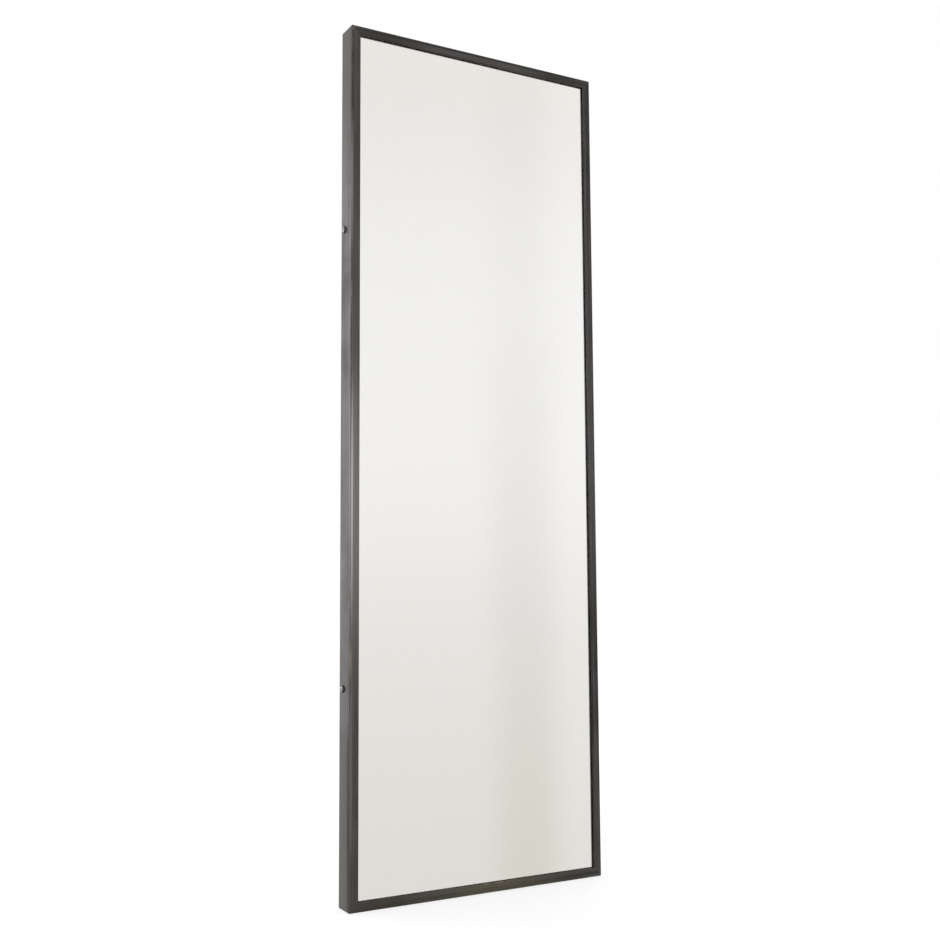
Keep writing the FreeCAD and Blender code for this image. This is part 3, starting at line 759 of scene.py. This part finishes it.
# weld beads in the corners of the tray, with the ripples of a hand weld
weldBead = {"leg": 3.5 * mm, "crown": 0.2, "faceSteps": 12, "rows": 150, "sharpAngle": 60,
            "endRoom": 0.3 * mm, "endSize": 0.55, "endSlope": 3.0, "fill": 0.95, "lumpScale": 210.0,
            "lumpDetail": 2.0}
weldRipple = {"Ripple": 1.6 * mm, "Depth": 0.13, "Bow": 1.1 * mm, "Uneven": 0.25 * mm, "Seed": 4.0}


def beadSection():
    leg, steps = weldBead["leg"], weldBead["faceSteps"]
    curve = []
    for step in range(steps + 1):
        share = step / steps
        swell = 1 + weldBead["crown"] * 4 * share * (1 - share)
        curve.append((leg * (1 - share) * swell, leg * share * swell))
    return [(0.0, 0.0)] + curve


def rippleTree():
    inputs = {"Bead": "Object", "Metal": "Material", **{name: "Float" for name in weldRipple}}
    tree, (points, bead, metal, ripple, depth, bow, uneven, seed) = startTree("weldBeads", inputs)
    shape = follow("GeometryNodeObjectInfo", {"Object": bead})["Geometry"]
    x, y, z = partsOf(addNode(tree, "GeometryNodeInputPosition").outputs[0])
    slant = minus(angle(z, x), math.pi / 4)
    bowed = times(maths("COSINE")(times(slant, 2.0)), bow)
    wave = maths("SINE")(times(per(minus(y, bowed), ripple), fullTurn))
    dip = times(minus(wave, 1.0), times(depth, 0.5))
    rippled = moved(shape, scaled(joined(x, 0.0, z), dip))
    placed = setOnPoints(points, rippled, turnAbout((0, 1, 0), readAttribute(tree, "spin", "FLOAT")))
    whole = follow("GeometryNodeRealizeInstances", {0: placed})[0]
    lump = {"W": seed, "Scale": weldBead["lumpScale"], "Detail": weldBead["lumpDetail"]}
    lumps = follow("ShaderNodeTexNoise", lump, noise_dimensions="4D")["Color"]
    return endTree(tree, moved(whole, scaled(vectorMinus(lumps, noiseMiddle), uneven)), metal)


def makeBeads():
    w = weldBead
    low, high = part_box("corner_welds")
    rows = []
    for step in range(w["rows"] + 1):
        share = step / w["rows"]
        swell = min(1.0, w["endSize"] + w["endSlope"] * min(share, 1 - share)) * w["fill"]
        depth = low.y + w["endRoom"] + (high.y - low.y - 2 * w["endRoom"]) * share
        rows.append([Vector((a * swell, depth, b * swell)) for a, b in beadSection()])
    shape = newPiece("beadShape", meshFrom(loft(rows), "beadShape", w["sharpAngle"]))
    corners = [(low.x, 0, low.z), (high.x, 0, low.z), (high.x, 0, high.z), (low.x, 0, high.z)]
    beads = pointSet("weldBeadSet", corners, "spin", (0.0, -quarterTurn, math.pi, quarterTurn), "FLOAT")
    runTree(beads, rippleTree(), {"Bead": shape, "Metal": weldSteel, **weldRipple})
    bpy.data.objects.remove(shape)
    handOver(beads, "mirror", "weld_steel", "corner_welds")


makeBeads()
print("weld beads made")


# the silver coat: its bright face lies just inside the back of the glass
silverCoat = {"sunk": 0.03 * mm}


def makeSilver():
    low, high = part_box("silver_backing")
    bm = bmesh.new()
    bmesh.ops.create_cube(bm, size=1.0)
    for vert in bm.verts:
        vert.co = Vector(low[i] if vert.co[i] < 0 else high[i] for i in range(3))
        if vert.co.y < (low.y + high.y) / 2:
            vert.co.y -= silverCoat["sunk"]
    mesh = meshFrom(bm, "silverCoat")
    piece = newPiece("silverCoat", mesh, backingPaint, mirrorSilver)
    for face in mesh.polygons:
        face.use_smooth = False
        face.material_index = 1 if face.normal.y < -0.5 else 0
    handOver(piece, "mirror", "mirror_silver", "silver_backing")


makeSilver()
print("silver coat made")


# screws with a cross recess and a wood thread, head towards +Z, seated at the origin
# recess: span and width of its arms, and depth; an edge of 0 makes a countersunk head
sideScrew = {"head": 16.0 * mm, "height": 5.2 * mm, "edge": 1.0 * mm, "shank": 8.0 * mm, "core": 5.6 * mm,
             "length": 38.0 * mm, "tip": 8.0 * mm, "neck": 5.0 * mm, "pitch": 3.0 * mm,
             "recess": (7.6 * mm, 1.8 * mm, 2.6 * mm), "sides": 40, "threadRows": 10, "seed": 3}
hangerScrew = {"head": 8.0 * mm, "height": 2.4 * mm, "edge": 0.6 * mm, "shank": 4.0 * mm, "core": 2.7 * mm,
               "length": 20.0 * mm, "tip": 4.0 * mm, "neck": 3.0 * mm, "pitch": 1.7 * mm,
               "recess": (4.2 * mm, 1.0 * mm, 1.4 * mm), "sides": 32, "threadRows": 8, "seed": 8}
boardScrew = {"head": 7.0 * mm, "height": 2.2 * mm, "edge": 0.0, "shank": 3.5 * mm, "core": 2.3 * mm,
              "length": 25.0 * mm, "tip": 4.0 * mm, "neck": 6.0 * mm, "pitch": 1.8 * mm,
              "recess": (4.0 * mm, 0.9 * mm, 1.4 * mm), "sides": 20, "threadRows": 6, "seed": 5,
              "rows": 4, "inset": 150.0 * mm, "railSpacing": 250.0 * mm}
# rim: steps in and up as shares of the edge; sunkRim: steps in and down
screwShape = {"pole": 0.02 * mm, "domeSteps": 14, "rim": ((0.0, 0.6), (0.0, 0.25), (0.12, 0.06), (0.3, 0.0)),
              "sunkRim": ((0.08 * mm, 0.0), (0.02 * mm, 0.05 * mm)), "plainNeck": 0.5, "crestHalf": 0.3,
              "crestPower": 1.3, "blunt": 0.03, "sharpAngle": 50, "recessAbove": 0.2 * mm,
              "recessMouth": 1.06, "recessFloor": 0.5, "recessTaper": 0.6}


def screwProfile(s):
    shape, radius, shank = screwShape, s["head"] / 2, s["shank"] / 2
    neck = (shank, -shape["plainNeck"] * s["neck"])
    if not s["edge"]:
        rim = [(radius - inset, -down) for inset, down in shape["sunkRim"]]
        return [(shape["pole"], 0.0), *rim, (shank, -s["height"]), neck]
    rise = s["height"] - s["edge"]
    ball = (radius ** 2 + rise ** 2) / (2 * rise)
    opening = math.asin(radius / ball)
    dome = []
    for step in range(shape["domeSteps"] + 1):
        turn = opening * step / shape["domeSteps"]
        dome.append((max(shape["pole"], ball * math.sin(turn)), s["height"] - ball + ball * math.cos(turn)))
    rim = [(radius - inset * s["edge"], up * s["edge"]) for inset, up in shape["rim"]]
    return [*dome, *rim, (shank, 0.0), neck]


def threadRadius(s, down, turn):
    beat = (down / s["pitch"] - turn / fullTurn) % 1.0
    crest = max(0.0, 1 - abs(beat - 0.5) / screwShape["crestHalf"]) ** screwShape["crestPower"]
    depth = s["shank"] / 2 - s["core"] / 2
    rise = min(1.0, max(0.0, (down - s["neck"]) / s["pitch"]))
    plain = s["shank"] / 2 * (1 - rise) + s["core"] / 2 * rise
    left = min(1.0, max(screwShape["blunt"], (s["length"] - down) / s["tip"]))
    return (plain + depth * rise * crest) * left


def crossRecess(s):
    span, width, depth = s["recess"]
    top = s["height"] if s["edge"] else 0.0
    taper = screwShape["recessTaper"]
    mouth = (top + screwShape["recessAbove"], screwShape["recessMouth"])
    rows = []
    for height, shrink in (mouth, (top - depth, screwShape["recessFloor"])):
        arm, half = span / 2 * shrink, width / 2 * (1 - taper + taper * shrink)
        row = []
        for c, n in ((1, 0), (0, 1), (-1, 0), (0, -1)):
            quarter = [(arm, -half), (arm, half), (half, half)]
            row += [Vector((c * a - n * b, n * a + c * b, height)) for a, b in quarter]
        rows.append(row)
    return meshFrom(loft(rows), "recess")


def makeScrew(name, s):
    turns = [fullTurn * i / s["sides"] for i in range(s["sides"])]
    rows = [[Vector((r * math.cos(t), r * math.sin(t), z)) for t in turns] for r, z in screwProfile(s)]
    threaded = s["length"] - s["neck"]
    steps = round(threaded / s["pitch"] * s["threadRows"])
    for step in range(steps + 1):
        down = s["neck"] + threaded * step / steps
        reach = [threadRadius(s, down, t) for t in turns]
        rows.append([Vector((r * math.cos(t), r * math.sin(t), -down)) for r, t in zip(reach, turns)])
    piece = newPiece(name, meshFrom(loft(rows), name, screwShape["sharpAngle"]))
    cutAway(piece, crossRecess(s))
    return piece


def screwTree():
    inputs = {"Screw": "Object", "Metal": "Material", "Seed": "Int"}
    tree, (points, screw, metal, seed) = startTree("screwSet", inputs)
    shape = follow("GeometryNodeObjectInfo", {"Object": screw, "As Instance": True})["Geometry"]
    aim = {"Vector": readAttribute(tree, "aim", "FLOAT_VECTOR")}
    facing = follow("FunctionNodeAlignRotationToVector", aim, axis="Z")[0]
    spin = follow("FunctionNodeRandomValue", {2: 0.0, 3: quarterTurn, 8: seed}, data_type="FLOAT")[1]
    driven = {0: facing, 1: turnAbout((0, 0, 1), spin)}
    turn = follow("FunctionNodeRotateRotation", driven, rotation_space="LOCAL")[0]
    return endTree(tree, setOnPoints(points, shape, turn), metal)


screwSetTree = screwTree()


# spots: a place and an aim for each screw
def setScrews(name, node, slot, s, metal, spots):
    shape = makeScrew("screwShape", s)
    places, aims = zip(*spots)
    piece = pointSet(name, places, "aim", aims, "FLOAT_VECTOR")
    runTree(piece, screwSetTree, {"Screw": shape, "Metal": metal, "Seed": s["seed"]})
    bpy.data.objects.remove(shape)
    handOver(piece, "mirror", slot, node)


sideHeights = screwHeights(screwLow, screwHigh, sideScrew["head"])
setScrews("sideScrewSet", "side_screws", "screw_steel", sideScrew, screwSteel,
          [((side * halfWidth, sideDepth, height), (side, 0, 0))
           for side in bothSides for height in sideHeights])

smallLow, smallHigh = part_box("hanger_screws")
hangerX = smallHigh.x - hangerScrew["head"] / 2
strapFace = smallHigh.y - hangerScrew["height"]
hangerHeights = screwHeights(smallLow, smallHigh, hangerScrew["head"])
setScrews("hangerScrewSet", "hanger_screws", "zinc_steel", hangerScrew, zincPlate,
          [((side * hangerX, strapFace, height), (0, 1, 0))
           for side in bothSides for height in hangerHeights])

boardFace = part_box("board_screws")[0].y
rowPitch = (tall - 2 * boardScrew["inset"]) / (boardScrew["rows"] - 1)
boardSpots = [(side * hangerX, boardScrew["inset"] + row * rowPitch)
              for side in bothSides for row in range(boardScrew["rows"])]
for rail in ("timber_bottom_rail", "timber_middle_rail", "timber_top_rail"):
    railLow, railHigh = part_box(rail)
    boardSpots += [(side * boardScrew["railSpacing"] / 2, (railLow.z + railHigh.z) / 2) for side in bothSides]
setScrews("boardScrewSet", "board_screws", "zinc_steel", boardScrew, zincPlate,
          [((x, boardFace, z), (0, -1, 0)) for x, z in boardSpots])
print("screws set")


# strap hangers: a folded strip with a rolled eye, and a bent wire ring
strapHanger = {"gauge": 0.98 * mm, "eyeBore": 1.55 * mm, "backBend": 1.5 * mm, "edgeEase": 0.14 * mm,
               "hole": 4.1 * mm, "holeReach": 8.0 * mm, "holeSides": 32, "endSteps": 10, "eyeSteps": 32,
               "backSteps": 8}
ringWire = {"wire": 3.0 * mm, "cornerRadius": 3.5 * mm, "leg": 1.5 * mm, "cornerSteps": 8, "bowSteps": 40,
            "sides": 24}


# the strip's middle line from its lower end, round the eye and back: place, normal and half width
def strapPath(axisY, axisZ, woodY, endZ, half):
    layer = (strapFace - woodY) / 2
    lower, upper = woodY + layer / 2, strapFace - layer / 2
    eye = strapHanger["eyeBore"] + layer / 2
    tail = [(endZ + half + b, a) for b, a in arc((0.0, 0.0), half, 180, 90, strapHanger["endSteps"])]
    path = [((lower, z), (1.0, 0.0), wide) for z, wide in tail]
    back = strapHanger["backBend"]
    backY = upper + back
    backZ = -math.sqrt((eye + back) ** 2 - (backY - axisY) ** 2)
    leave = math.atan2(backZ, backY - axisY)
    for step in range(strapHanger["eyeSteps"] + 1):
        turn = math.pi + (leave - math.pi) * step / strapHanger["eyeSteps"]
        c, n = math.cos(turn), math.sin(turn)
        path.append(((axisY + eye * c, axisZ + eye * n), (-c, -n), half))
    for step in range(1, strapHanger["backSteps"] + 1):
        turn = leave + math.pi - leave * step / strapHanger["backSteps"]
        c, n = math.cos(turn), math.sin(turn)
        path.append(((backY + back * c, axisZ + backZ + back * n), (c, n), half))
    return path + [((upper, z), (-1.0, 0.0), wide) for z, wide in reversed(tail)]


def makeStrap(name, node, centre, axisY, axisZ):
    low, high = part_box(node)
    thick, soft = strapHanger["gauge"] / 2, strapHanger["edgeEase"]
    rows = []
    for (y, z), (ny, nz), wide in strapPath(axisY, axisZ, low.y, low.z, (high.x - low.x) / 2):
        inner = max(wide - soft, 0.0)
        outline = [(wide, thick - soft), (inner, thick), (-inner, thick), (-wide, thick - soft),
                   (-wide, soft - thick), (-inner, -thick), (inner, -thick), (wide, soft - thick)]
        rows.append([Vector((centre + a, y + ny * b, z + nz * b)) for a, b in outline])
    strap = newPiece(name, meshFrom(loft(rows), name), zincPlate)
    holes = [(centre, strapFace, height) for height in hangerHeights]
    radius, reach = strapHanger["hole"] / 2, strapHanger["holeReach"]
    cutAway(strap, cylinders(holes, (0, 1, 0), radius, reach, strapHanger["holeSides"]))
    evenNormals(strap)
    handOver(strap, "mirror", "zinc_steel", node)


def bentWireTree():
    inputs = {"Wire": "Float", "Sides": "Int", "Metal": "Material"}
    tree, (line, wire, sides, metal) = startTree("bentWire", inputs)
    path = follow("GeometryNodeMeshToCurve", {0: line})[0]
    section = follow("GeometryNodeCurvePrimitiveCircle", {"Resolution": sides, "Radius": wire})[0]
    tube = follow("GeometryNodeCurveToMesh", {"Curve": path, "Profile Curve": section})[0]
    return endTree(tree, follow("GeometryNodeSetShadeSmooth", {0: tube, 2: True})[0], metal)


wireTree = bentWireTree()


def makeRing(name, node, body, centre, axisY, axisZ):
    low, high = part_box(node)
    wire, corner, leg = ringWire["wire"] / 2, ringWire["cornerRadius"], ringWire["leg"]
    reach = (high.x - low.x) / 2 - wire
    tilt = math.asin((high.y - axisY - wire) / (corner + leg + reach))
    outline = arc((reach - corner, -corner), corner, 90, 0, ringWire["cornerSteps"])
    outline += arc((0.0, -corner - leg), reach, 0, -180, ringWire["bowSteps"])
    outline += arc((corner - reach, -corner), corner, 180, 90, ringWire["cornerSteps"])
    points = [(centre + a, axisY - b * math.sin(tilt), axisZ + b * math.cos(tilt)) for a, b in outline]
    mesh = bpy.data.meshes.new(name)
    mesh.from_pydata(points, [(i, (i + 1) % len(points)) for i in range(len(points))], [])
    ring = newPiece(name, mesh)
    runTree(ring, wireTree, {"Wire": wire, "Sides": ringWire["sides"], "Metal": zincPlate})
    handOver(ring, body, "zinc_steel", node)


for label in ("left", "right"):
    strapNode = label + "_hanger_strap"
    strapLow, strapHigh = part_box(strapNode)
    eyeOutside = (strapHigh.y - strapLow.y) / 2
    eyeAt = ((strapLow.x + strapHigh.x) / 2, strapLow.y + eyeOutside, strapHigh.z - eyeOutside)
    makeStrap(label + "HangerStrap", strapNode, *eyeAt)
    makeRing(label + "HangerRing", label + "_hanger_ring", label + "_ring", *eyeAt)
print("hangers made")


# CAD nodes that stay as they are, with their finishes
keptFinishes = {
    **woodFinishes, "mirror_glass": clearGlass, "mirror_pads": bondingFoam,
    "setting_blocks": blockRubber, "location_blocks": blockRubber,
    **{"glazing_tape_" + side: glazingFoam for side in ("left", "right", "top", "bottom")},
}
for node, material in keptFinishes.items():
    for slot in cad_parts[node].material_slots:
        slot.material = material
print("kept nodes finished:", len(keptFinishes))


# camera at the photograph's viewing angle
cameraSetup = {"eye": (-1.2596, -2.2496, 0.6420), "yaw": 29.319, "pitch": 5.349, "roll": -0.33,
               "focalPixels": 1193.5, "imagePixels": 940.0, "sensor": 36.0}


def makeCamera():
    c = cameraSetup
    yaw, pitch, roll = (math.radians(c[name]) for name in ("yaw", "pitch", "roll"))
    forward = Vector((math.sin(yaw) * math.cos(pitch), math.cos(yaw) * math.cos(pitch), math.sin(pitch)))
    right = Vector((math.cos(yaw), -math.sin(yaw), 0.0))
    up = right.cross(forward)
    across = right * math.cos(roll) + up * math.sin(roll)
    over = up * math.cos(roll) - right * math.sin(roll)
    data = bpy.data.cameras.new("camera")
    data.sensor_width = c["sensor"]
    data.lens = c["focalPixels"] * c["sensor"] / c["imagePixels"]
    camera = bpy.data.objects.new("camera", data)
    scene.collection.objects.link(camera)
    turn = Matrix((across, over, -forward)).transposed().to_4x4()
    camera.matrix_world = Matrix.Translation(c["eye"]) @ turn
    scene.camera = camera


makeCamera()


# how near a bearing lies to a soft dark corner, and the lift to the right of it; bearings in degrees
def cornerShading(across, out, corner):
    turn = maths("DEGREES")(angle(across, out))
    near = ease(absolute(minus(turn, corner["at"])), corner["core"], corner["half"], 1.0, 0.0)
    lift = ease(turn, corner["at"], corner["at"] + corner["half"], 1.0, 1 + corner["rightLift"])
    return near, lift


# rays that metal and glass send out
def mirroredRays(path):
    return most(path["Is Glossy Ray"], path["Is Transmission Ray"])


# a pale room: white where the camera looks past the mirror, softly shaded where metal and glass reflect it
roomLook = {
    "ambient": (0.80, 0.80, 0.81, 1),
    "seen": (1, 1, 1, 1),
    # height of the direction, brightness and warmth of the reflected room
    "stops": [(-0.30, 0.80, 0.06), (-0.045, 0.885, 0.045), (0.0, 0.915, 0.04), (0.035, 0.945, 0.025),
              (0.10, 0.975, 0.015), (0.23, 0.972, 0.0), (0.29, 0.955, 0.01), (0.335, 0.928, 0.03),
              (0.38, 0.905, 0.045), (0.55, 0.87, 0.05)],
    # the share of blue's loss by warmth that green loses too
    "warmGreen": 0.25,
    "corner": {"at": 31.8, "core": 0.3, "half": 2.6, "rightLift": 0.030},
    # the corner's shade low down and high up, and between which heights it changes
    "cornerShade": (0.074, 0.028),
    "cornerFade": (0.05, 0.25),
}


def makeRoom():
    look = roomLook
    world = bpy.data.worlds.new("room")
    scene.world = world
    world.use_nodes = True
    tree = world.node_tree
    x, y, z = partsOf(addNode(tree, "ShaderNodeTexCoord").outputs["Generated"])
    ramp = addNode(tree, "ShaderNodeValToRGB", {0: follow("ShaderNodeMapRange", {0: z, 1: -1.0})[0]})
    elements = ramp.color_ramp.elements
    while len(elements) < len(look["stops"]):
        elements.new(0.5)
    for element, (height, bright, warm) in zip(elements, look["stops"]):
        element.position = (height + 1) / 2
        element.color = (bright, bright * (1 - look["warmGreen"] * warm), bright * (1 - warm), 1)
    near, lift = cornerShading(x, times(y, -1.0), look["corner"])
    dip = minus(1.0, times(near, ease(z, *look["cornerFade"], *look["cornerShade"])))
    shaded = scaled(ramp.outputs[0], times(dip, lift))
    path = addNode(tree, "ShaderNodeLightPath").outputs
    colour = layered(look["ambient"], (mirroredRays(path), shaded), (path["Is Camera Ray"], look["seen"]))
    setInputs(tree.nodes["Background"], {"Color": colour})


makeRoom()


# the reflected floor shows a glowing tone, darker near the object, with painted shade along a wedge that
# starts at streakFrom, and lighter to the right of it
floorLook = {
    "half": 14.0, "segments": 8, "albedo": (0.46, 0.46, 0.455, 1), "glow": 0.68, "glowColour": (1, 1, 1, 1),
    "mirrorNear": (0.80, 0.79, 0.758, 1), "mirrorFar": (0.902, 0.893, 0.865, 1), "fade": 3.0,
    "streakNear": (0.925, 0.905, 0.842, 1), "streakFar": (0.928, 0.928, 0.928, 1),
    "streakFrom": (-1.26, 2.16), "streak": {"at": 31.95, "core": 0.3, "half": 2.5, "rightLift": 0.033},
}


def makeFloor():
    look = floorLook
    bm = bmesh.new()
    bmesh.ops.create_grid(bm, x_segments=look["segments"], y_segments=look["segments"], size=look["half"])
    material = bpy.data.materials.new("paleFloor")
    floor = newPiece("floor", meshFrom(bm, "floor"), material)
    material.use_nodes = True
    tree = material.node_tree
    tree.nodes.remove(tree.nodes["Principled BSDF"])
    place = addNode(tree, "ShaderNodeTexCoord").outputs["Object"]
    away = lengthOf(place)
    share = per(away, plus(away, look["fade"]))
    tone = blend(share, look["mirrorNear"], look["mirrorFar"])
    x, y = partsOf(place)[:2]
    fromX, fromY = look["streakFrom"]
    near, lift = cornerShading(minus(x, fromX), minus(fromY, y), look["streak"])
    farthest = look["half"] / (look["half"] + look["fade"])
    cast = blend(per(share, farthest, True), look["streakNear"], look["streakFar"])
    tone = scaled(blend(near, tone, cast, "MULTIPLY"), lift)
    path = addNode(tree, "ShaderNodeLightPath").outputs
    matt = addNode(tree, "ShaderNodeBsdfDiffuse", {"Color": look["albedo"]}).outputs[0]
    lit = {"Color": look["glowColour"], "Strength": look["glow"]}
    glow = addNode(tree, "ShaderNodeEmission", lit).outputs[0]
    seen = follow("ShaderNodeAddShader", {0: matt, 1: glow})[0]
    shown = follow("ShaderNodeEmission", {"Color": tone})[0]
    direct = follow("ShaderNodeMixShader", {0: path["Is Camera Ray"], 1: matt, 2: seen})[0]
    whole = follow("ShaderNodeMixShader", {0: mirroredRays(path), 1: direct, 2: shown})[0]
    setInputs(tree.nodes["Material Output"], {"Surface": whole})


makeFloor()


# soft lamps behind the plane of the mirror, so that it never shows them
lamps = {
    "leftSoftbox": {"place": (-1.55, 1.75, 1.12), "aim": (-0.3, 0.0, 0.93), "size": (1.5, 2.24),
                    "power": 13.7, "colour": (0.96, 0.93, 1.0)},
    "rightSoftbox": {"place": (1.75, 1.6, 1.1), "aim": (0.3, 0.0, 0.95), "size": (1.3, 1.9),
                     "power": 11.0, "colour": (0.98, 0.97, 1.0)},
}
for name, lamp in lamps.items():
    data = bpy.data.lights.new(name, "AREA")
    data.shape, data.energy, data.color = "RECTANGLE", lamp["power"], lamp["colour"]
    data.size, data.size_y = lamp["size"]
    light = bpy.data.objects.new(name, data)
    scene.collection.objects.link(light)
    facing = (Vector(lamp["aim"]) - Vector(lamp["place"])).to_track_quat("-Z", "Y").to_matrix().to_4x4()
    light.matrix_world = Matrix.Translation(lamp["place"]) @ facing
    light.visible_camera = False
print("room, floor and lamps set")
